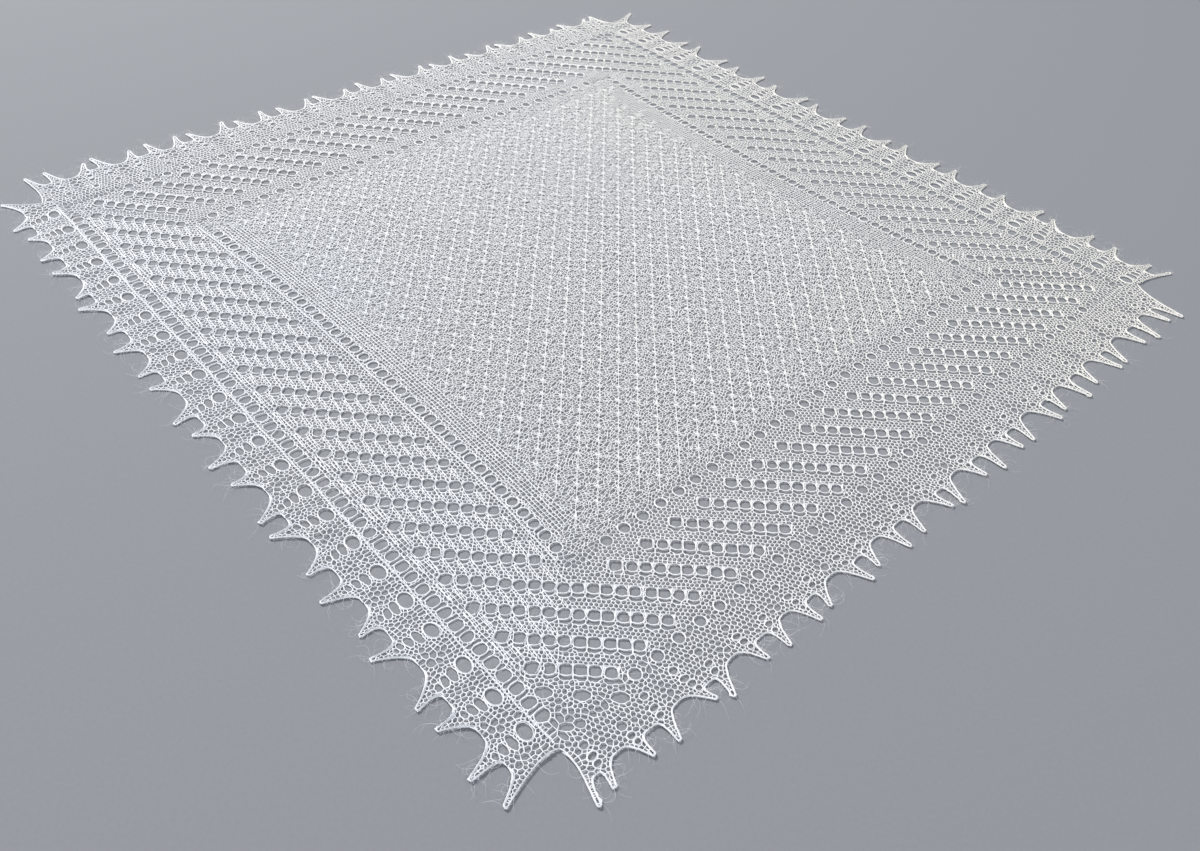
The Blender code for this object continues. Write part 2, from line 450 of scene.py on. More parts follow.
def sow_lines(bed):
    """The lines of eyelets round the centre and round the borders."""
    rims = []
    for side in SIDES:
        for distance, line, owner in ((SIDE_DISTANCE, OUTER_LINE, EDGING), (side.inner, INNER_LINE, BORDER)):
            piece = owner[side.name]
            rims.append((sow_eyelet_line(bed, side, distance, line, piece), piece))
    for places, piece in rims:
        bed.refresh()
        bed.sow(places, piece, CLEAR)
    sow_corner_eyelets(bed)


def level_line(distance):
    """A straight line along a side, as a distance for every place."""
    return lambda along: distance + 0.0 * np.asarray(along)


def rib_lines(side):
    """Where the two ribs of a side run, as distances, with the owners of their pieces."""
    return ((level_line(SIDE_DISTANCE + RIB_OUTSIDE), EDGING),
            (lambda along: side.inner(along) + RIB_INSIDE, BORDER))


def sow_ribs(bed):
    """Straight strands beside the eyelet lines of the dense sides, between mirrored pairs of holes."""
    for side in SIDES:
        if not side.dense:
            continue
        for distance, piece in rib_lines(side):
            along, out = line_places(distance, RIB_CELL, 0.5, LINE_END)
            for way in (-1, 1):
                bed.refresh()
                bed.sow(side.place(along, out + way * RIB_HALF), piece[side.name], RIB_CLEAR)


def sow_bands(bed):
    """Ladders of small holes that run along the dense sides."""
    bed.refresh()
    for side in SIDES:
        if not side.dense:
            continue
        for line, first, count, margin, piece in (
                (level_line(SIDE_DISTANCE), BORDER_DROP, BORDER_BANDS, LINE_END, BORDER[side.name]),
                (side.inner, CENTRE_DROP, CENTRE_BANDS, 0.003, CENTRE)):
            for row in range(count):
                drop = first + BAND_PITCH * row
                along, out = line_places(lambda place: line(place) - drop, BAND_CELL, 0.0, margin)
                along = along + dice.normal(0.0, 0.0005, len(along))
                bed.sow(side.place(along, out), piece, CLEAR)


def row_ranges(height):
    """Where an eyelet row at this height runs: pairs of start and end, from left to right."""
    level = abs(height)
    if height < 0.0:
        left, right = DENSE_RANGE, OPEN_RANGE
    else:
        left, right = OPEN_RANGE, DENSE_RANGE
    if level > min(DENSE_RANGE[0], OPEN_RANGE[0]) - 0.02:
        return [(level - left[1], right[1] - level)]
    return [(level - left[1], level - left[0]), (right[0] - level, right[1] - level)]


def row_heights():
    return np.linspace(-ROW_REACH, ROW_REACH, ROW_COUNT)


def row_eyelets():
    """Middles of the borders' row eyelets, with whether each is the wide one at its row's start."""
    middles = []
    for height in row_heights():
        for start, end in row_ranges(height):
            count = int(round((end - start) / ROW_HOLE_PITCH))
            places = start + (np.arange(count + 1)) * ROW_HOLE_PITCH
            places[0] -= WIDE_HOLE[0] - ROW_HOLE[0]
            for number, place in enumerate(places):
                middles.append((place, height, number == 0))
    return np.array(middles)


EYELETS = row_eyelets()


def border_piece(points):
    """Number of the border that each point of the true square lies in."""
    x, y = points[:, 0], points[:, 1]
    near = np.where(x < 0.0, BORDER["near_left"], BORDER["near_right"])
    far = np.where(x < 0.0, BORDER["far_left"], BORDER["far_right"])
    return np.where(y < 0.0, near, far)


def leans(piece):
    """Whether holes of these borders are the dense sides' leaning ones."""
    dense = [BORDER[side.name] for side in SIDES if side.dense]
    return np.isin(piece, dense)


def sow_row_eyelets(bed):
    """Cups with a squarish top or leaning ovals, with a crescent under each."""
    bed.refresh()
    middles = EYELETS[:, :2] + dice.normal(0.0, 0.0005, (len(EYELETS), 2))
    clear = bed.clear_of(middles, ROW_CLEAR)
    above = np.array([(-0.0065, 0.0118), (0.0, 0.0122), (0.0065, 0.0118)])      # small holes over each eyelet
    for wide in (True, False):
        for leaning in (True, False):
            mine = middles[clear & (EYELETS[:, 2] == wide) & (leans(border_piece(EYELETS)) == leaning)]
            piece = border_piece(mine)
            sizes = WIDE_HOLE if wide else ROW_HOLE
            turn = ROW_TURN if leaning else 0.0
            inside, rim = open_hole(*sizes, SQUARE_TOP)
            sow_together(bed, mine, turned(inside, turn), piece, PART_CLEAR)
            bed.refresh()
            sow_together(bed, mine, turned(crescent(*sizes, RIM, 38.0, 3), turn), piece, CLOSE)
            for x, y in above:
                bed.refresh()
                bed.sow(mine + (x, y), piece, CLEAR)
            places = (mine[:, None, :] + turned(rim, turn)[None]).reshape(-1, 2)
            bed.refresh()
            bed.sow(places, np.repeat(piece, len(rim)), CLEAR)


def in_border(points, margin):
    """Whether points lie between the inner eyelet line and the outer one."""
    inside = np.abs(points).sum(-1) * ROOT_HALF < SIDE_DISTANCE - margin
    for side in SIDES:
        turn = math.radians(side.outward)
        out = points[:, 0] * math.cos(turn) + points[:, 1] * math.sin(turn)
        along = -points[:, 0] * math.sin(turn) + points[:, 1] * math.cos(turn)
        facing = np.abs(along) <= np.abs(out) + 1e-9
        facing &= out > 0.0
        inside &= ~facing | (out > side.inner(along) + margin)
    return inside


def sow_borders(bed):
    """The small holes between the eyelet rows."""
    bed.refresh()
    heights = row_heights()
    for number, height in enumerate(np.concatenate([[2.0 * heights[0] - heights[1]], heights])):
        for layer, step in enumerate(ROW_LAYERS):
            level = height + step
            reach = 1.0 - abs(level)
            if reach < 0.01:
                continue
            # open sides: round holes, each over the gap between two
            column = np.arange(-int(reach / CELL) - 2, int(reach / CELL) + 3)
            x = (column + 0.5 * ((layer + number) % 2)) * CELL + FOAM_LEAN * step
            foam = np.stack([x, np.full(len(x), level)], -1) + dice.normal(0.0, 0.0009, (len(x), 2))
            foam = foam[(foam[:, 0] * foam[:, 1] < 0.0) & in_border(foam, BORDER_EDGE)]
            bed.sow(foam, border_piece(foam), CLEAR)
            # dense sides: one wide and two narrow ladders for each eyelet, leaning along the side
            group = np.arange(-int(reach / ROW_HOLE_PITCH) - 2, int(reach / ROW_HOLE_PITCH) + 3)
            start = -(DENSE_RANGE[1] - abs(height)) if height < 0.0 else DENSE_RANGE[0] - abs(height)
            x = start + group[:, None] * ROW_HOLE_PITCH + np.array(LADDERS)[None]
            x = (x - LEAN * step).ravel()
            ladder = np.stack([x, np.full(len(x), level)], -1) + dice.normal(0.0, 0.0004, (len(x), 2))
            ladder = ladder[(ladder[:, 0] * ladder[:, 1] > 0.0) & in_border(ladder, BORDER_EDGE)]
            bed.sow(ladder, border_piece(ladder), CLEAR)


def star_grid(across, along):
    """Points of the true square that lie this many knots across and along."""
    y = STAR_START[1] + along * STAR_PITCH[1]
    x = STAR_START[0] + across * STAR_PITCH[0] + STAR_LEAN * y
    x = x + STAR_SPREAD * x ** 3
    return np.stack([x, y + x * (STAR_TURN[0] + STAR_TURN[1] * y) + STAR_BOW * x * x * y], -1)


def star_places():
    """Middles of the centre's knots, and of the next knot down from each."""
    count = int(1.0 / min(STAR_PITCH))
    across, along = np.meshgrid(np.arange(-count, count + 1), np.arange(-count, count + 1))
    across, along = across.ravel(), along.ravel()
    places = star_grid(across, along)
    limit = np.where(places[:, 0] * places[:, 1] > 0.0, DENSE_STAR_REACH, OPEN_STAR_REACH)
    keep = np.abs(places).sum(-1) < limit
    return places[keep], star_grid(across, along - 1)[keep]


STARS, STARS_BELOW = star_places()


def sow_centre(bed):
    """Small slanting holes between the centre's knots, long one way and narrow the other."""
    bed.refresh()
    count = int(1.6 / min(STAR_PITCH))
    rising, falling = np.meshgrid(np.arange(-count * LONG_CELLS, count * LONG_CELLS + 1) / LONG_CELLS,
                                  np.arange(-count * NARROW_CELLS, count * NARROW_CELLS + 1) / NARROW_CELLS)
    rising, falling = rising.ravel(), falling.ravel()
    bend = 0.10 * np.sin(math.pi * (rising + falling)) + 0.06 * np.sin(math.pi * (rising - falling) * 2.0)
    rising = rising + 0.16 * np.sin(falling * math.pi) + dice.normal(0.0, LONG_NOISE, len(rising))
    falling = falling + bend + dice.normal(0.0, NARROW_NOISE, len(falling))
    places = star_grid(0.5 * (rising + falling), 0.5 * (rising - falling))
    keep = (np.abs(places).sum(-1) < CENTRE_SHARE - 0.006) & ~in_border(places, -0.004)
    places = places[keep]
    numbers = np.arange(len(places))
    double = np.nonzero((dice.random(len(places) - 1) < MERGED_SHARE)
                        & (np.hypot(*np.diff(places, axis=0).T) < MERGED_REACH))[0]
    numbers[double + 1] = numbers[double]
    bed.sow(places, CENTRE, CLOSE, numbers)


def within(points, outline):
    """Whether each point is inside a closed outline."""
    inside = np.zeros(len(points), bool)
    x, y = points[:, 0], points[:, 1]
    for (x0, y0), (x1, y1) in zip(outline, np.roll(outline, -1, axis=0)):
        if y0 == y1:
            continue
        spans = (y0 > y) != (y1 > y)
        inside ^= spans & (x < (x1 - x0) * (y - y0) / (y1 - y0) + x0)
    return inside


def evenly(path, pitch):
    """Points at an even pitch along an open path, and the direction there."""
    legs = np.diff(path, axis=0)
    lengths = np.hypot(legs[:, 0], legs[:, 1])
    reach = np.concatenate([[0.0], np.cumsum(lengths)])
    count = max(2, int(round(reach[-1] / pitch)))
    at = (np.arange(count) + 0.5) / count * reach[-1]
    points = np.stack([np.interp(at, reach, path[:, 0]), np.interp(at, reach, path[:, 1])], -1)
    leg = np.clip(np.searchsorted(reach, at, side="right") - 1, 0, len(legs) - 1)
    return points, legs[leg] / lengths[leg][:, None]


OUTLINE = outer_outline()


def sow_outline(bed):
    """Mirrored pairs of places that make the outer strand follow the teeth."""
    inner, outer, owners = [], [], []
    for side in SIDES:
        for before, after in FLANKS[side.name]:
            for path in (before, after[::-1]):
                points, along = evenly(side.place(*path.T), RIM_CELL)
                outward = np.stack([along[:, 1], -along[:, 0]], -1)
                inner.append(points - RIM_GAP * outward)
                outer.append(points + RIM_GAP * outward)
                owners += [EDGING[side.name]] * len(points)
    inner, outer, owners = np.concatenate(inner), np.concatenate(outer), np.array(owners)
    good = within(inner, OUTLINE) & ~within(outer, OUTLINE)
    inner, outer, owners = inner[good], outer[good], owners[good]
    taken = kdtree.KDTree(len(outer))
    for number, (x, y) in enumerate(outer):
        taken.insert((x, y, 0.0), number)
    taken.balance()
    alone = np.array([taken.find((x, y, 0.0))[2] > RIM_CLEAR for x, y in inner])
    bed.refresh()
    bed.sow(inner[alone], owners[alone], CLOSE)
    bed.sow_outside(outer)


def tooth_axis(base, lean, tip, share):
    """A place on the line from a tooth's base beside the rib to its tip, in along and out."""
    foot = SIDE_DISTANCE + TOOTH_FOOT
    return base + lean * share ** 1.3, foot + (tip - foot) * share


TOOTH_HOLE_CLEAR = 0.004      # nearest that a tooth's eyelet comes to another hole
TOOTH_CORNER = 0.012          # and to the line between two edgings
TOOTH_FOOT = 0.017            # a tooth's eyelets are counted from this far out of the knitted square
DENSE_TOOTH_HOLES = (
    # share of the way to the tip, half sizes along the tooth and across it
    (0.13, 0.0104, 0.0140),
    (0.34, 0.0060, 0.0122),
    (0.48, 0.0052, 0.0096),
    (0.61, 0.0044, 0.0066),
)
OPEN_TOOTH_HOLES = (
    (0.16, 0.0062, 0.0068),
    (0.40, 0.0050, 0.0074),
    (0.55, 0.0048, 0.0066),
    (0.69, 0.0042, 0.0048),
)


TOOTH_EYELETS = {side.name: [] for side in SIDES}      # middle, half sizes and tilt of each


def sow_tooth_holes(bed, side):
    """The eyelets that climb from the rib into each tooth."""
    piece = EDGING[side.name]
    rims = []
    for base, lean, tip in tooth_rows(side):
        for share, half_up, half_across in DENSE_TOOTH_HOLES if side.dense else OPEN_TOOTH_HOLES:
            along, out = tooth_axis(base, lean, tip, share)
            spot = side.place(along, out)
            if not bed.clear_of([spot], TOOTH_HOLE_CLEAR)[0]:
                continue
            inside, round_it = open_hole(half_across, half_up)
            tilt = side.outward + 90.0 - math.degrees(math.atan2(lean, tip - SIDE_DISTANCE))
            rim = spot + turned(round_it, tilt)
            if not within(rim, OUTLINE).all() or np.abs(along) > out - TOOTH_CORNER:
                continue
            sow_together(bed, spot[None], turned(inside, tilt), piece, PART_CLEAR)
            rims.append(rim)
            TOOTH_EYELETS[side.name].append((spot, (half_across, half_up), tilt))
    bed.refresh()
    bed.sow(np.concatenate(rims), piece, CLOSE)


def sow_edgings(bed):
    """The edgings' eyelets, the dense sides' long stitches, and rows of small holes out to the tips."""
    for side in SIDES:
        bed.refresh()
        sow_tooth_holes(bed, side)
        if not side.dense:
            continue
        # long stitches that stand on the rib
        along, out = line_places(SIDE_DISTANCE + STITCH_FOOT, STITCH_CELL, 0.0, LINE_END)
        bed.refresh()
        along = along + dice.normal(0.0, 0.0005, len(along))
        sow_together(bed, side.place(along, out), upright(STITCH_REACH, side.outward + 90.0),
                     EDGING[side.name], EDGING_CLEAR)
    bed.refresh()
    for side in SIDES:
        rows = np.array(tooth_rows(side))
        layer = 0
        out = SIDE_DISTANCE + EDGING_START
        across_step, out_step = EDGING_CELLS[side.dense]
        while out < SIDE_DISTANCE + EDGING_END:
            share = min((out - SIDE_DISTANCE) / 0.11, 1.0)
            across = (np.arange(-170, 171) + 0.5 * (layer % 2)) * across_step
            nearest = np.abs(across[:, None] - rows[:, 0][None]).argmin(1)
            gather = GATHER * share ** 1.6
            along = across + (rows[nearest, 0] - across) * gather + rows[nearest, 1] * share ** 2
            along = along + dice.normal(0.0, 0.0007, len(along))
            places = side.place(along, out + dice.normal(0.0, 0.0012, len(along)))
            places = places[(np.abs(along) < out)]
            places = places[within(places, OUTLINE)]
            bed.sow(places, EDGING[side.name], EDGING_CLEAR)
            out += out_step
            layer += 1


SURROUND_REACH, SURROUND_CELL = 1.25, 0.010
SURROUND_CLEAR = 0.0040


def sow_surround(bed):
    """Places off the cloth, so that no strand runs away from it."""
    bed.refresh()
    grid = np.arange(-SURROUND_REACH, SURROUND_REACH + 0.0001, SURROUND_CELL)
    x, y = np.meshgrid(grid, grid)
    places = np.stack([x.ravel(), y.ravel()], -1)
    reach = np.abs(places).sum(-1)
    places = places[(reach > 0.98) & (reach < 1.30)]
    places = places[~within(places, OUTLINE)]
    keep = bed.clear_of(places, SURROUND_CLEAR)
    bed.sow_outside(places[keep])


def sown_bed():
    bed = Bed()
    sow_lines(bed)
    sow_outline(bed)
    sow_ribs(bed)
    sow_row_eyelets(bed)
    sow_bands(bed)
    sow_borders(bed)
    sow_centre(bed)
    sow_edgings(bed)
    sow_surround(bed)
    return bed


# ---- strands between the holes ------------------------------------------------------------------
class Net:
    """Strands that run halfway between neighbouring holes."""

    def __init__(self, bed):
        places = np.concatenate(bed.places)
        holes = np.concatenate(bed.holes)
        found = geometry.delaunay_2d_cdt([Vector(place) for place in places.tolist()], [], [], 0, 1e-7)
        corners = np.array([point[:] for point in found[0]])
        self.owner = np.array([holes[came_from[0]] for came_from in found[3]])
        self.triangles = np.array(found[2])
        self.pieces = np.array(bed.pieces)
        self.knots = self.middles(corners)
        self.find_runs()
        self.relax()

    def middles(self, corners):
        """The point as far from each of a triangle's three hole middles."""
        a, b, c = (corners[self.triangles[:, k]] for k in range(3))
        b, c = b - a, c - a
        twice = 2.0 * (b[:, 0] * c[:, 1] - b[:, 1] * c[:, 0])
        twice = np.where(np.abs(twice) < 1e-12, 1e-12, twice)
        b2, c2 = (b * b).sum(1), (c * c).sum(1)
        middle = np.stack([(c[:, 1] * b2 - b[:, 1] * c2) / twice,
                           (b[:, 0] * c2 - c[:, 0] * b2) / twice], -1)
        centroid = (b + c) / 3.0
        far = np.hypot(*(middle - centroid).T) > FAR_MIDDLE
        middle[far] = centroid[far]
        return middle + a

    def find_runs(self):
        """Each strand twice, once from each hole beside it, from its start knot to its end knot."""
        triangles = self.triangles
        count = len(triangles)
        number = np.tile(np.arange(count), 3)
        start = triangles.T.ravel()
        end = np.roll(triangles, -1, axis=1).T.ravel()
        size = triangles.max() + 1
        key = start * size + end
        back = end * size + start
        order = np.argsort(key)
        spot = np.searchsorted(key[order], back)
        spot = np.minimum(spot, len(order) - 1)
        other = order[spot]
        matched = key[other] == back
        hole, beside = self.owner[start], self.owner[end]
        keep = matched & (hole != beside)
        self.hole = hole[keep]
        self.beside = beside[keep]
        self.start = number[other[keep]]
        self.end = number[keep]
        self.join_close_knots()
        self.link()

    def join_close_knots(self):
        """Knots nearer than a strand's width become one, where more than three strands can meet."""
        rim = (self.hole == OUTSIDE) | (self.beside == OUTSIDE)
        short = (np.hypot(*(self.knots[self.start] - self.knots[self.end]).T) < CLOSE_KNOTS) & ~rim
        joined = list(range(len(self.knots)))

        def head(knot):
            while joined[knot] != knot:
                joined[knot] = joined[joined[knot]]
                knot = joined[knot]
            return knot

        for first, second in zip(self.start[short].tolist(), self.end[short].tolist()):
            joined[head(first)] = head(second)
        heads = np.array([head(knot) for knot in range(len(joined))])
        total = np.zeros_like(self.knots)
        np.add.at(total, heads, self.knots)
        count = np.maximum(np.bincount(heads, minlength=len(heads)), 1)
        self.knots = total / count[:, None]
        self.start, self.end = heads[self.start], heads[self.end]
        keep = self.start != self.end
        self.hole, self.beside = self.hole[keep], self.beside[keep]
        self.start, self.end = self.start[keep], self.end[keep]

    def link(self):
        """For each strand, the next and the last one round the same hole."""
        count = len(self.triangles)
        start_key = (self.hole + 1) * count + self.start
        end_key = (self.hole + 1) * count + self.end
        order = np.argsort(start_key, kind="stable")
        spot = np.minimum(np.searchsorted(start_key[order], end_key), len(order) - 1)
        following = order[spot]
        linked = start_key[following] == end_key
        before = np.full(len(self.hole), -1)
        before[following[linked]] = np.nonzero(linked)[0]
        following = np.where(linked, following, -1)
        self.following, self.before = following, before

    def relax(self):
        """Let the knots settle between their neighbours, except along the outer edge."""
        count = len(self.knots)
        held = np.zeros(count, bool)
        rim = (self.hole == OUTSIDE) | (self.beside == OUTSIDE)
        held[self.start[rim]] = True
        held[self.end[rim]] = True
        for _ in range(2):
            total = np.zeros((count, 2))
            np.add.at(total, self.start, self.knots[self.end])
            met = np.bincount(self.start, minlength=count)
            free = (met > 1) & ~held
            mean = total[free] / met[free][:, None]
            self.knots[free] = 0.5 * self.knots[free] + 0.5 * mean

    def strands(self, half_width):
        """Ridge points, foot points and the faces between them, with the piece of each face."""
        ground = laid(self.knots)
        run = ground[self.end] - ground[self.start]
        length = np.maximum(np.hypot(run[:, 0], run[:, 1]), 1e-9)
        way = run / length[:, None]
        left = np.stack([-way[:, 1], way[:, 0]], -1)
        following = np.where(self.following < 0, np.arange(len(run)), self.following)
        bisector = left + left[following]
        size = np.maximum((bisector * bisector).sum(1), SHARPEST)
        round_hole = np.bincount(self.hole + 1, minlength=self.hole.max() + 2)[self.hole + 1]
        rim = np.where((round_hole >= EYELET_STRANDS) & (self.hole != OUTSIDE), RIM_SHARE, 1.0)
        owner = self.pieces[np.where(self.hole == OUTSIDE, self.beside, self.hole)]
        width = half_width * rim * (1.0 + WIDTH_SWAY * np.sin(self.end * 1.7))
        width = width * np.where(owner == CENTRE, CENTRE_STRAND, 1.0)
        offset = bisector * (2.0 * width / size)[:, None]
        middle = np.zeros((self.hole.max() + 2, 2))
        np.add.at(middle, self.hole + 1, ground[self.end])
        middle /= np.maximum(np.bincount(self.hole + 1, minlength=len(middle)), 1)[:, None]
        to_middle = middle[self.hole + 1] - ground[self.end]
        room = MOST_FILLED * np.hypot(to_middle[:, 0], to_middle[:, 1])
        reach = np.hypot(offset[:, 0], offset[:, 1])
        short = (reach > room) & (self.hole != OUTSIDE)
        offset[short] *= (room[short] / reach[short])[:, None]
        foot = ground[self.end] + offset
        whole = (self.following >= 0) & (self.before >= 0)
        index = np.nonzero(whole)[0]
        knots = len(ground)
        faces = np.stack([self.start[index], self.end[index], knots + index,
                          knots + self.before[index]], -1)
        points = np.concatenate([ground, foot])
        height = np.concatenate([np.full(knots, STRAND_TOP), np.full(len(foot), STRAND_FOOT)])
        return points, height + lift(points), faces, owner[index]


def add_piece(name, points, faces, material, slot, node):
    """A smooth piece of the shawl from its points and four-cornered faces."""
    used, renumbered = np.unique(faces, return_inverse=True)
    faces = renumbered.reshape(faces.shape)
    points = points[used]
    mesh = bpy.data.meshes.new(name)
    mesh.vertices.add(len(points))
    mesh.vertices.foreach_set("co", points.astype(np.float32).ravel())
    mesh.loops.add(faces.size)
    mesh.loops.foreach_set("vertex_index", faces.astype(np.int32).ravel())
    mesh.polygons.add(len(faces))
    mesh.polygons.foreach_set("loop_start", np.arange(len(faces), dtype=np.int32) * faces.shape[1])
    mesh.polygons.foreach_set("use_smooth", np.ones(len(faces), bool))
    mesh.update(calc_edges=True)
    mesh.validate()
    piece = bpy.data.objects.new(name, mesh)
    bpy.context.scene.collection.objects.link(piece)
    piece.data.materials.append(material)
    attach(piece, "root")
    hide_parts(node)
    return piece


def laid_out(paths, half_width):
    """Paths as they lie on the floor, and half their width to the left of the way."""
    paths = np.asarray(paths, float)
    ground = laid(paths if paths.ndim == 3 else paths[None])
    run = np.gradient(ground, axis=1)
    run /= np.maximum(np.hypot(run[..., 0], run[..., 1]), 1e-9)[..., None]
    half_width = np.broadcast_to(half_width, ground.shape[:2])[..., None]
    return ground, np.stack([-run[..., 1], run[..., 0]], -1) * half_width


class Skein:
    """Strands laid one by one over the net: raised in the middle and thin at the edges."""

    def __init__(self):
        self.points = []
        self.faces = []
        self.count = 0

    def weave(self, rails):
        """Faces between neighbouring rails, each an array of strands, stations and three numbers."""
        points = np.stack(rails, 2)
        strands, stations, wide = points.shape[:3]
        strand, station = np.meshgrid(np.arange(strands), np.arange(stations - 1), indexing="ij")
        first = self.count + wide * (strand * stations + station).ravel()
        for rail in range(wide - 1):
            self.faces.append(np.stack([first + 1, first + wide + 1, first + wide, first], -1) + rail)
        self.points.append(points.reshape(-1, 3))
        self.count += strands * stations * wide

    def lay_flat(self, paths, half_width, level):
        """Hairs too fine for a raised middle."""
        ground, across = laid_out(paths, half_width)
        height = (lift(ground) + level)[..., None]
        self.weave([np.concatenate([ground + way * across, height], -1) for way in (1.0, -1.0)])

    def lay(self, paths, half_width, top):
        """Strands along paths of the true square: an array of strands, places and two numbers."""
        ground, across = laid_out(paths, half_width)
        top = np.broadcast_to(top, ground.shape[:2])
        low = np.maximum(top - 2.0 * (STRAND_TOP - STRAND_FOOT), STRAND_FOOT)
        level = lift(ground)
        self.weave([np.concatenate([ground + way * across, (level + height)[..., None]], -1)
                    for way, height in ((1.0, low), (0.0, top), (-1.0, low))])

    def wind(self, name, material, slot, node):
        return add_piece(name, np.concatenate(self.points), np.concatenate(self.faces), material, slot, node)


def bowed(starts, ends, bow, stations):
    """Paths from starts to ends that bow sideways by this much, to the left of the way."""
    starts, ends = np.asarray(starts, float), np.asarray(ends, float)
    share = np.linspace(0.0, 1.0, stations)[None, :, None]
    run = ends - starts
    length = np.maximum(np.hypot(run[:, 0], run[:, 1]), 1e-9)[:, None]
    left = np.stack([-run[:, 1], run[:, 0]], -1) / length
    bow = np.broadcast_to(bow, len(starts))[:, None, None]
    return (starts[:, None] * (1.0 - share) + ends[:, None] * share
            + left[:, None] * bow * 4.0 * share * (1.0 - share))


# ---- strands that stand out from the net --------------------------------------------------------
RIM_WIDTH = 0.00046           # half widths of strands in metres, from one end to the other
TOP_WIDTHS = (0.00074, 0.00044, 0.00044, 0.00074)
POST_WIDTHS = (0.00036, 0.00036, 0.00040, 0.00056, 0.00088)
POST_HEAD = ROW_HOLE[1] + 0.0006      # height of a post's top and of its foot over the eyelets' middles
POST_FOOT = -ROW_HOLE[1] + 0.0024
POST_SPREAD = (0.0020, 0.0005)        # half the gap between its two strands, at its foot and its top
POST_SHIFT = 0.0030           # how far the dense sides' posts are moved back
LEANING_WIDTH = 0.00048
LEANING_SPREAD = 0.0024       # half the gap between two of them at the top
BAND_WIDTH = 0.00031
KNOT_WIDTHS = (0.00092, 0.00058, 0.00024)
KNOT_TOPS = (STRAND_TOP + 0.0010, STRAND_TOP + 0.0005, STRAND_TOP)
KNOT_REACHES = (0.0060, 0.0068, 0.0090, 0.0068)        # a knot's arms: across, slanting, along, slanting
RIB_WIDTH = 0.00050
CROSSING_WIDTHS = (0.00026, 0.00050, 0.00026)
TWIST = 0.0123                # length of one turn of a rib, and how far its two strands swing out
SWING = 0.0011
CROSSING_REACH = 0.0030       # half length of the stitches that cross a rib
BARE_CORNER = 0.060           # no bands of the border run here
LAST_LEANING = 0.90           # nor leaning strands past this height
# strands along the flanks of a tooth: share of the way to its spine, half width
DENSE_INSETS = ((0.02, 0.00056), (0.13, 0.00046), (0.27, 0.00038))
OPEN_INSETS = ((0.02, 0.00070), (0.15, 0.00058))


def eyelet_rims(skein, middles, half_sizes, tilt):
    """A strand wound round each eyelet."""
    loop = turned(rounded(12, *half_sizes), tilt)
    loop = np.concatenate([loop, loop[:1]])
    grow = 1.0 + dice.normal(0.0, 0.04, len(middles))
    skein.lay(middles[:, None, :] + loop[None] * grow[:, None, None], RIM_WIDTH, STRAND_TOP + 0.0003)


def row_skeins():
    """The straight strand over each row of eyelets on the open sides, the posts between the eyelets, and on
    the near left side the leaning ladders and the strands along it.
    """
    skeins = {side.name: Skein() for side in SIDES}
    half = 0.5 * ROW_HOLE_PITCH
    owner = border_piece(EYELETS[:, :2])
    for side in SIDES:
        skein = skeins[side.name]
        mine = EYELETS[owner == BORDER[side.name]]
        places = mine[:, :2]
        posts = np.concatenate([places, places[mine[:, 2] == 1.0] - (2.0 * half, 0.0)])
        if not side.dense:
            along_top = bowed(places + (-half, POST_HEAD), places + (half, POST_HEAD),
                              dice.normal(0.0004, 0.0003, len(places)), 4)
            skein.lay(along_top, TOP_WIDTHS, STRAND_TOP + 0.0004)
        shift = POST_SHIFT if side.dense else 0.0
        for way in (-1.0, 1.0):
            start = posts + (half + way * POST_SPREAD[0] - shift, POST_FOOT - 0.0014)
            end = posts + (half + way * POST_SPREAD[1] + 0.3 * shift, POST_HEAD - 0.0010)
            bow = way * dice.normal(0.0007, 0.0002, len(posts))
            skein.lay(bowed(start, end, bow, 5), POST_WIDTHS, STRAND_TOP + 0.0004)
        if side.name == "near_left":
            lean_down(skein, posts + (half, POST_FOOT))
            bands(skein, side, level_line(SIDE_DISTANCE - BORDER_DROP + 0.5 * BAND_PITCH), 3, BARE_CORNER)
    return skeins


def lean_down(skein, feet):
    """Two strands that lean down from the foot of each post to the row below."""
    drop = 2.0 * ROW_REACH / (ROW_COUNT - 1) - POST_HEAD + POST_FOOT
    for way in (-1.0, 1.0):
        start = feet + (way * LEANING_SPREAD, -0.0010)
        end = start + (LEAN * drop, -drop)
        keep = in_border(end, 0.006) & (end[:, 0] * end[:, 1] > 0.0) & (np.abs(start[:, 1]) < LAST_LEANING)
        bow = dice.normal(0.0, 0.0005, keep.sum())
        skein.lay(bowed(start[keep], end[keep], bow, 6), LEANING_WIDTH, STRAND_TOP + 0.0006)


def bands(skein, side, distance, count, margin=LINE_END):
    """Strands that run along a side, one ladder's width apart."""
    for row in range(count):
        drop = BAND_PITCH * row
        reach = float(distance(0.0)) - drop - margin
        along = np.linspace(-reach, reach, int(reach / 0.006))
        wander = 0.0006 * np.sin(along * 70.0 + row * 2.0) + dice.normal(0.0, 0.0003, len(along))
        skein.lay(side.place(along, distance(along) - drop + wander), BAND_WIDTH, STRAND_TOP + 0.0002)


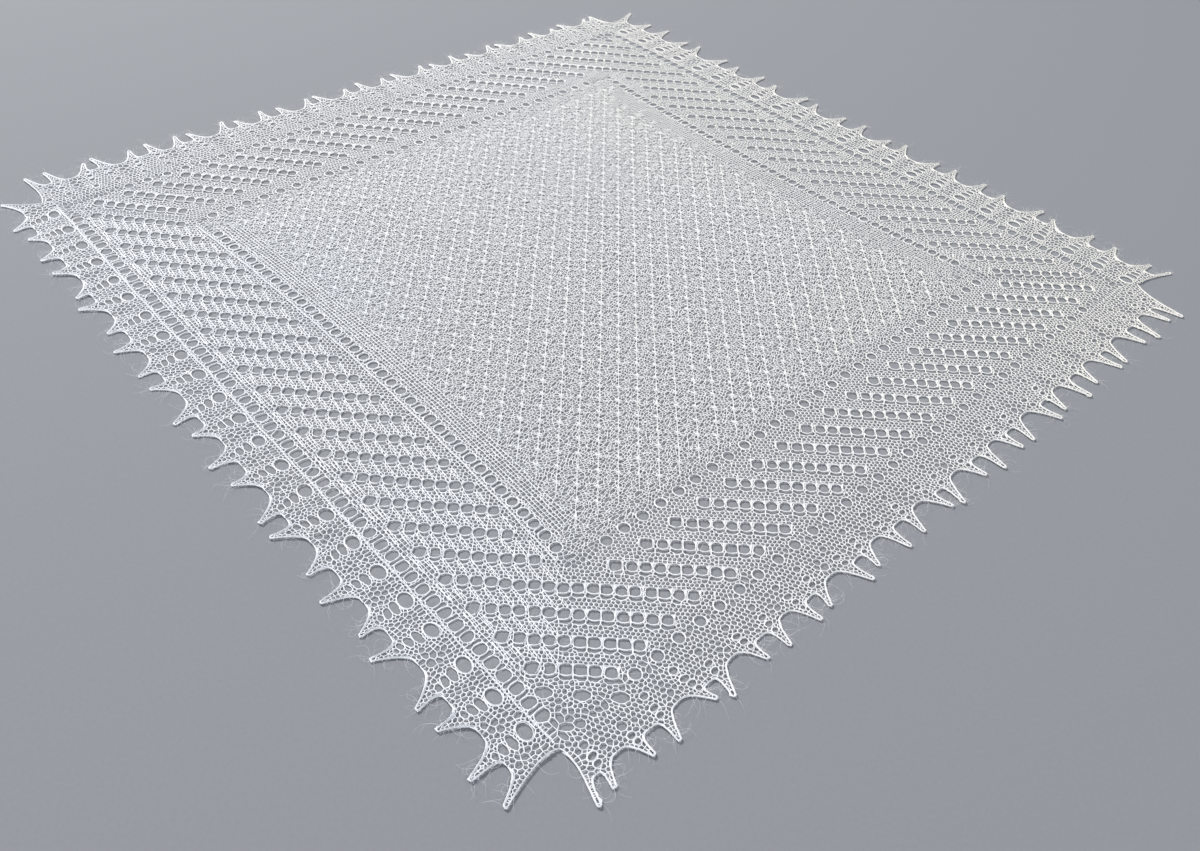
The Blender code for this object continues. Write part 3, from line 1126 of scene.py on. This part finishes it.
def knot_skein():
    """The centre's knots: eight short arms each, and the strands that join them."""
    skein = Skein()
    for arm in range(8):
        angle = arm * math.pi / 4.0 + dice.normal(0.0, 0.10, len(STARS))
        reach = KNOT_REACHES[arm % 4] * (1.0 + dice.normal(0.0, 0.14, len(STARS)))
        ends = STARS + np.stack([np.cos(angle), np.sin(angle)], -1) * reach[:, None]
        skein.lay(bowed(STARS, ends, dice.normal(0.0, 0.0004, len(STARS)), 3), KNOT_WIDTHS, KNOT_TOPS)
    for shift in (-0.0014, 0.0016):
        start = STARS + (shift * 0.4, -0.002)
        end = STARS_BELOW + (shift * 0.4, 0.002)
        skein.lay(bowed(start, end, -shift + dice.normal(0.0, 0.0006, len(STARS)), 4), BAND_WIDTH,
                  STRAND_TOP + 0.0001)
    near_left = SIDES[0]
    bands(skein, near_left, lambda along: near_left.inner(along) - CENTRE_DROP + 0.5 * BAND_PITCH,
          CENTRE_BANDS + 1)
    for side, middles, half_sizes in EYELET_LINES[1::2]:
        eyelet_rims(skein, middles, half_sizes, side.outward + 90.0)
    return skein


def rib_skein(side):
    """Two twisted ribs along a side, each of two strands, and the stitches that cross them."""
    skein = Skein()
    for distance, _ in rib_lines(side):
        reach = float(distance(0.0)) - 0.010
        along = np.linspace(-reach, reach, int(2.0 * reach / TWIST) * 5 + 1)
        phase = along / TWIST * 2.0 * math.pi
        wander = (0.0007 * np.sin(along * 61.0)
                  + 0.0004 * np.sin(along * 2.0 * math.pi / OUTER_LINE[side.dense][0]))
        paths = [side.place(along, distance(along) + wander + SWING * np.sin(phase + turn))
                 for turn in (0.0, math.pi)]
        top = STRAND_TOP + 0.0005 + 0.0003 * np.stack([np.cos(phase), -np.cos(phase)])
        skein.lay(np.stack(paths), RIB_WIDTH, top)
        along = np.arange(-1.0, 1.0, RIB_CELL)
        along = along[np.abs(along) < distance(0.0) - 0.012]
        out = distance(along)
        lean = dice.normal(0.0008, 0.0006, len(along))
        crossing = bowed(side.place(along - lean, out - CROSSING_REACH),
                         side.place(along + lean, out + CROSSING_REACH), 0.0, 3)
        skein.lay(crossing, CROSSING_WIDTHS, STRAND_TOP + 0.0006)
    return skein


def edging_skein(side, number):
    """Close strands along the flanks of the teeth, and the eyelets' rims."""
    skein = Skein()
    cap = np.radians(np.linspace(0.0, 180.0, 5)[1:-1])
    for (base, lean, tip), (before, after) in zip(tooth_rows(side), FLANKS[side.name]):
        spine_foot = np.array([base, SIDE_DISTANCE + 0.62 * (tip - SIDE_DISTANCE)])
        peak = np.array([base + lean, tip])
        height = np.linspace(0.0, 1.0, len(before))[:, None]
        spine = spine_foot * (1.0 - height) + peak * height
        for inset, width in DENSE_INSETS if side.dense else OPEN_INSETS:
            up, down = (path * (1.0 - inset) + spine * inset for path in (before, after))
            reach = 0.5 * abs(down[-1, 0] - up[-1, 0])
            round_tip = 0.5 * (up[-1] + down[-1]) + np.stack([-np.cos(cap), np.sin(cap)], -1) * reach
            whole = np.concatenate([up, round_tip, down[::-1]])
            whole = whole + dice.normal(0.0, 0.00022, whole.shape)
            share = np.concatenate([height[:, 0], np.ones(len(cap)), height[::-1, 0]])
            skein.lay(side.place(*whole.T), width * (1.0 + 0.25 * share), STRAND_TOP + 0.0005)
    for spot, half_sizes, tilt in TOOTH_EYELETS[side.name][::4 if side.dense else 1]:
        eyelet_rims(skein, spot[None], half_sizes, tilt)
    _, middles, half_sizes = EYELET_LINES[2 * number]
    if not side.dense:
        eyelet_rims(skein, middles, half_sizes, side.outward + 90.0)
    return skein


HAIR_STATIONS = 8
HAIR_WIDTH = 0.00011
HAIRS_ON_FLANK = 12
HAIRS_OVER_LACE = 1000
LONGEST_HAIR = 0.034


def lay_hairs(skein, starts, ways, spread, lengths):
    """Loose curling hairs that leave the cloth from these places, in these directions in degrees."""
    count = len(starts)
    heading = np.radians(ways + dice.normal(0.0, spread, count))
    curl = dice.normal(0.0, 1.9, count)
    wave = dice.normal(0.0, 0.8, count)
    share = np.linspace(0.0, 1.0, HAIR_STATIONS)
    turn = heading[:, None] + curl[:, None] * share + wave[:, None] * np.sin(share * 5.0)
    step = lengths[:, None] / (HAIR_STATIONS - 1)
    run = np.stack([np.cos(turn) * step, np.sin(turn) * step], -1)
    run[:, 0] = 0.0
    rise = dice.uniform(0.0002, 0.0030, count)[:, None] * np.sin(share * 2.6)[None]
    skein.lay_flat(starts[:, None, :] + np.cumsum(run, axis=1),
                   HAIR_WIDTH * np.linspace(1.0, 0.35, HAIR_STATIONS), STRAND_TOP + rise)


def hair_skein(side):
    """Hairs round the teeth of a side and over the lace beside it."""
    skein = Skein()
    fringe = []
    for before, after in FLANKS[side.name]:
        for path in (before, after):
            pick = path[dice.integers(2, len(path), HAIRS_ON_FLANK)]
            fringe.append(pick + dice.normal(0.0, 0.0012, pick.shape))
    starts = side.place(*np.concatenate(fringe).T)
    lengths = np.minimum(dice.gamma(3.0, 0.0078, len(starts)), LONGEST_HAIR)
    lay_hairs(skein, starts, side.outward, 42.0, lengths)
    along = dice.uniform(-1.0, 1.0, HAIRS_OVER_LACE) * SIDE_DISTANCE
    out = dice.uniform(0.05, 1.0, HAIRS_OVER_LACE) * SIDE_DISTANCE
    keep = np.abs(along) < out
    starts = side.place(along[keep], out[keep])
    ways = 360.0 * dice.random(len(starts))
    lay_hairs(skein, starts, ways, 20.0, dice.uniform(0.010, 0.026, len(starts)))
    return skein


# ---- wool and floor -----------------------------------------------------------------------------
class Value:
    """A socket of a material, written in sums and products."""

    def __init__(self, recipe, socket):
        self.recipe = recipe
        self.socket = socket

    def maths(self, operation, first, second):
        return self.recipe.node("ShaderNodeMath", {"operation": operation}, (first, second))

    def __add__(self, other):
        return self.maths("ADD", self, other)

    def __mul__(self, other):
        return self.maths("MULTIPLY", self, other)


class Recipe:
    """One material and the nodes it is made of."""

    def __init__(self, name):
        self.material = bpy.data.materials.new(name)
        self.material.use_nodes = True
        self.tree = self.material.node_tree
        self.shader = self.tree.nodes["Principled BSDF"]

    def node(self, kind, settings, sockets, output=0):
        """A node of this kind. sockets is a tuple in order, or a dict by name, of numbers or values."""
        node = self.tree.nodes.new(kind)
        for setting, value in settings.items():
            setattr(node, setting, value)
        named = sockets.items() if isinstance(sockets, dict) else enumerate(sockets)
        for socket, value in named:
            self.fill(node.inputs[socket], value)
        return Value(self, node.outputs[output])

    def fill(self, socket, value):
        """A number goes straight into a socket; a value is joined to it."""
        if isinstance(value, Value):
            self.tree.links.new(value.socket, socket)
        else:
            socket.default_value = value

    def noise(self, scale, detail=2.0, roughness=0.5, squeeze=None):
        place = self.node("ShaderNodeTexCoord", {}, (), "Object")
        if squeeze is not None:
            place = self.node("ShaderNodeMapping", {}, {"Vector": place, "Scale": squeeze})
        return self.node("ShaderNodeTexNoise", {"noise_dimensions": "3D"},
                         {"Vector": place, "Scale": scale, "Detail": detail, "Roughness": roughness})

    def blend(self, factor, first, second):
        return self.node("ShaderNodeMix", {"data_type": "RGBA"},
                         {0: factor, 6: first, 7: second}, 2)

    def stretch(self, value, low, high, to_low, to_high):
        return self.node("ShaderNodeMapRange", {"clamp": True},
                         {"Value": value, "From Min": low, "From Max": high,
                          "To Min": to_low, "To Max": to_high})

    def bump(self, height, strength, distance):
        return self.node("ShaderNodeBump", {}, {"Height": height, "Strength": strength,
                                                "Distance": distance})

    def set(self, **sockets):
        """The shader's sockets, by their names with _ for each space."""
        for name, value in sockets.items():
            self.fill(self.shader.inputs[name.replace("_", " ")], value)


COOL_WHITE = (0.90, 0.92, 0.96, 1.0)
WARM_WHITE = (0.92, 0.895, 0.845, 1.0)
SHADED_WHITE = (0.76, 0.77, 0.80, 1.0)
FLOOR_DARK = (0.252, 0.261, 0.281, 1.0)
FLOOR_LIGHT = (0.264, 0.274, 0.294, 1.0)


def wool(name, sheen, cover=1.0):
    """Fine white wool yarn: two whites, warmer and a little darker towards the far right and cooler towards
    the near left, with a slow random drift over that; darker flecks; and a fibrous skin.
    """
    recipe = Recipe(name)
    place = recipe.node("ShaderNodeTexCoord", {}, (), "Object")
    across = recipe.node("ShaderNodeSeparateXYZ", {}, (place,), "X")
    along = recipe.node("ShaderNodeSeparateXYZ", {}, (place,), "Y")
    # The white turns warmer and a little darker towards the far right and cooler towards the near left, on
    # top of slow noise.
    drift = recipe.noise(2.2, 2.0) * 0.6 + across * 0.45 + along * 0.35
    tone = recipe.blend(recipe.stretch(drift, 0.0, 0.75, 0.0, 1.0), COOL_WHITE, WARM_WHITE)
    fleck = recipe.noise(420.0, 3.0, 0.6)
    tone = recipe.blend(recipe.stretch(fleck, 0.5, 0.75, 0.0, 0.5), tone, SHADED_WHITE)
    fibre = recipe.noise(2600.0, 2.0, 0.6, (1.0, 0.35, 1.0))
    recipe.set(Base_Color=tone, Roughness=recipe.stretch(fibre, 0.3, 0.7, 0.72, 0.95),
               Normal=recipe.bump(fibre, 0.35, 0.0003), Sheen_Weight=sheen, Sheen_Roughness=0.4,
               Specular_IOR_Level=0.25, Alpha=cover)
    return recipe.material


def haze_wool():
    """The bloom of loose fibre that fills the holes: a thin, streaky veil."""
    recipe = Recipe("wool_bloom")
    streaks = recipe.noise(900.0, 4.0, 0.7, (1.0, 0.25, 1.0))
    cross = recipe.noise(900.0, 4.0, 0.7, (0.25, 1.0, 1.0))
    patches = recipe.noise(35.0, 3.0, 0.6)
    veil = recipe.stretch(streaks + cross, 0.85, 1.30, 0.0, 0.10)
    veil = veil * recipe.stretch(patches, 0.3, 0.7, 0.65, 1.0)
    recipe.set(Base_Color=recipe.blend(patches, COOL_WHITE, WARM_WHITE), Roughness=0.95, Alpha=veil,
               Sheen_Weight=0.3, Specular_IOR_Level=0.1)
    return recipe.material


def floor_material():
    recipe = Recipe("pale_floor")
    grain = recipe.noise(260.0, 3.0, 0.6)
    recipe.set(Base_Color=recipe.blend(recipe.stretch(grain, 0.3, 0.7, 0.0, 1.0), FLOOR_DARK, FLOOR_LIGHT),
               Roughness=0.92, Specular_IOR_Level=0.15)
    return recipe.material


# ---- carriers -----------------------------------------------------------------------------------
def border_grid(side, rows=6, columns=60):
    """A four-cornered sheet from the centre panel to the edging, mitred at both ends."""
    share = np.linspace(-1.0, 1.0, columns + 1)[None, :]
    depth = np.linspace(0.0, 1.0, rows + 1)[:, None]
    level = (CENTRE_DISTANCE * (1.0 - depth) + SIDE_DISTANCE * depth) * np.ones_like(share)
    return side.place(share * level, level - side.waist * (1.0 - share * share) * (1.0 - depth))


def grid_faces(rows, columns):
    row, column = np.meshgrid(np.arange(rows), np.arange(columns), indexing="ij")
    first = (row * (columns + 1) + column).ravel()
    return np.stack([first, first + 1, first + columns + 2, first + columns + 1], -1)


def carrier(name, grid, material, slot, node):
    ground = laid(grid).reshape(-1, 2)
    points = np.column_stack([ground, STRAND_FOOT + lift(ground)])
    return add_piece(name, points, grid_faces(grid.shape[0] - 1, grid.shape[1] - 1), material, slot, node)


def centre_carrier(material):
    steps = 48
    share = np.linspace(-1.0, 1.0, steps + 1)
    across, along = np.meshgrid(share, share)
    grid = SIDES[2].place(along * CENTRE_DISTANCE,
                          across * (CENTRE_DISTANCE - SIDES[0].waist * (1.0 - along * along)))
    return carrier("centre_bloom", grid, material, "centre_wool", "centre_panel")


def edging_carrier(side, material):
    """A sheet from the knitted square to the toothed edge."""
    edge = np.concatenate([np.concatenate([before[:-1], after[::-1]]) for before, after in FLANKS[side.name]])
    depth = np.linspace(0.0, 1.0, 4)[:, None]
    foot = np.maximum.accumulate(np.clip(edge[:, 0], -SIDE_DISTANCE, SIDE_DISTANCE))
    foot[0], foot[-1] = -SIDE_DISTANCE, SIDE_DISTANCE
    along = foot[None, :] * (1.0 - depth) + edge[:, 0][None, :] * depth
    out = SIDE_DISTANCE * (1.0 - depth) + (edge[:, 1] - 0.002)[None, :] * depth
    return carrier("edging_bloom_" + side.name, side.place(along, out), material, "edging_wool",
                   "edging_" + side.name)


# ---- light, floor and view ----------------------------------------------------------------------
FLOOR_HALF = 14.0             # metres, as the places are
KEY_PLACE, KEY_WATTS = (-3.8, 4.0, 4.8), 585.0
FILL_PLACE, FILL_WATTS = (3.8, -3.4, 4.8), 124.0
STUDIO_STRENGTH = 0.455


def add_floor():
    half = FLOOR_HALF
    mesh = bpy.data.meshes.new("floor")
    mesh.from_pydata([(-half, -half, 0.0), (half, -half, 0.0), (half, half, 0.0), (-half, half, 0.0)],
                     [], [(0, 1, 2, 3)])
    floor = bpy.data.objects.new("floor", mesh)
    bpy.context.scene.collection.objects.link(floor)
    floor.data.materials.append(floor_material())


def add_light(name, place, size, power, tint):
    lamp = bpy.data.lights.new(name, "AREA")
    lamp.shape = "DISK"
    lamp.size = size
    lamp.energy = power
    lamp.color = tint
    light = bpy.data.objects.new(name, lamp)
    light.location = place
    light.rotation_euler = (-Vector(place)).to_track_quat("-Z", "Y").to_euler()
    bpy.context.scene.collection.objects.link(light)


def add_lights():
    add_light("key", KEY_PLACE, 1.6, KEY_WATTS, (1.0, 0.98, 0.95))
    add_light("fill", FILL_PLACE, 4.0, FILL_WATTS, (0.92, 0.96, 1.0))
    world = bpy.data.worlds.new("studio")
    world.use_nodes = True
    world.node_tree.nodes["Background"].inputs["Color"].default_value = (0.90, 0.94, 1.0, 1.0)
    world.node_tree.nodes["Background"].inputs["Strength"].default_value = STUDIO_STRENGTH
    bpy.context.scene.world = world
    bpy.context.scene.view_settings.view_transform = "Standard"


VIEW_PLACE = (0.00056, -1.60669, 1.16112)      # in half diagonals from the square's middle
VIEW_DOWN = 45.357                             # degrees
VIEW_TURN = 1.423
VIEW_ROLL = -5.052
LENS = 30.52                                   # millimetres, on a 36 mm frame


def add_camera():
    down, turn, roll = (math.radians(angle) for angle in (VIEW_DOWN, VIEW_TURN, VIEW_ROLL))
    forward = Vector((math.sin(turn) * math.cos(down), math.cos(turn) * math.cos(down), -math.sin(down)))
    level = Vector((math.cos(turn), -math.sin(turn), 0.0))
    below = forward.cross(level)
    right = level * math.cos(roll) + below * math.sin(roll)
    under = below * math.cos(roll) - level * math.sin(roll)
    camera = bpy.data.objects.new("view", bpy.data.cameras.new("view"))
    camera.data.lens = LENS
    camera.data.sensor_width = 36.0
    camera.data.sensor_fit = "HORIZONTAL"
    camera.data.clip_start = 0.05
    place = Vector(VIEW_PLACE) * HALF_DIAGONAL + Vector((SHIFT[0], SHIFT[1], 0.0))
    turned_to = Matrix((right, -under, -forward)).transposed().to_4x4()
    camera.matrix_world = Matrix.Translation(place) @ turned_to
    bpy.context.scene.collection.objects.link(camera)
    bpy.context.scene.camera = camera


def build_shawl():
    yarn = {"centre": wool("centre_yarn", 0.35), "border": wool("border_yarn", 0.35),
            "edging": wool("edging_yarn", 0.5), "hair": wool("stray_wool", 0.6, 0.6)}
    bloom = haze_wool()
    points, height, faces, owner = Net(sown_bed()).strands(STRAND)
    points = np.column_stack([points, height])
    near = points[faces[:, 0], 1] < SHIFT[1] - 0.01
    of_centre = (yarn["centre"], "centre_wool", "centre_panel")
    on_it = [add_piece("centre_lace_near", points, faces[(owner == CENTRE) & near], *of_centre),
             add_piece("centre_lace_far", points, faces[(owner == CENTRE) & ~near], *of_centre),
             knot_skein().wind("centre_knots", *of_centre)]
    centre_carrier(bloom)
    rows = row_skeins()
    for number, side in enumerate(SIDES):
        of_border = (yarn["border"], "border_wool", "border_" + side.name)
        on_it = [add_piece("border_lace_" + side.name, points, faces[owner == BORDER[side.name]], *of_border),
                 rows[side.name].wind("border_posts_" + side.name, *of_border)]
        sheet = carrier("border_bloom_" + side.name, border_grid(side), bloom, *of_border[1:])
        of_edging = (yarn["edging"], "edging_wool", "edging_" + side.name)
        on_it = [add_piece("edging_lace_" + side.name, points, faces[owner == EDGING[side.name]], *of_edging),
                 edging_skein(side, number).wind("edging_teeth_" + side.name, *of_edging),
                 hair_skein(side).wind("stray_hairs_" + side.name, yarn["hair"], *of_edging[1:])]
        if side.name == "near_left":
            on_it.append(rib_skein(side).wind("rib_" + side.name, *of_edging))
        edging_carrier(side, bloom)


add_floor()
add_lights()
add_camera()
build_shawl()
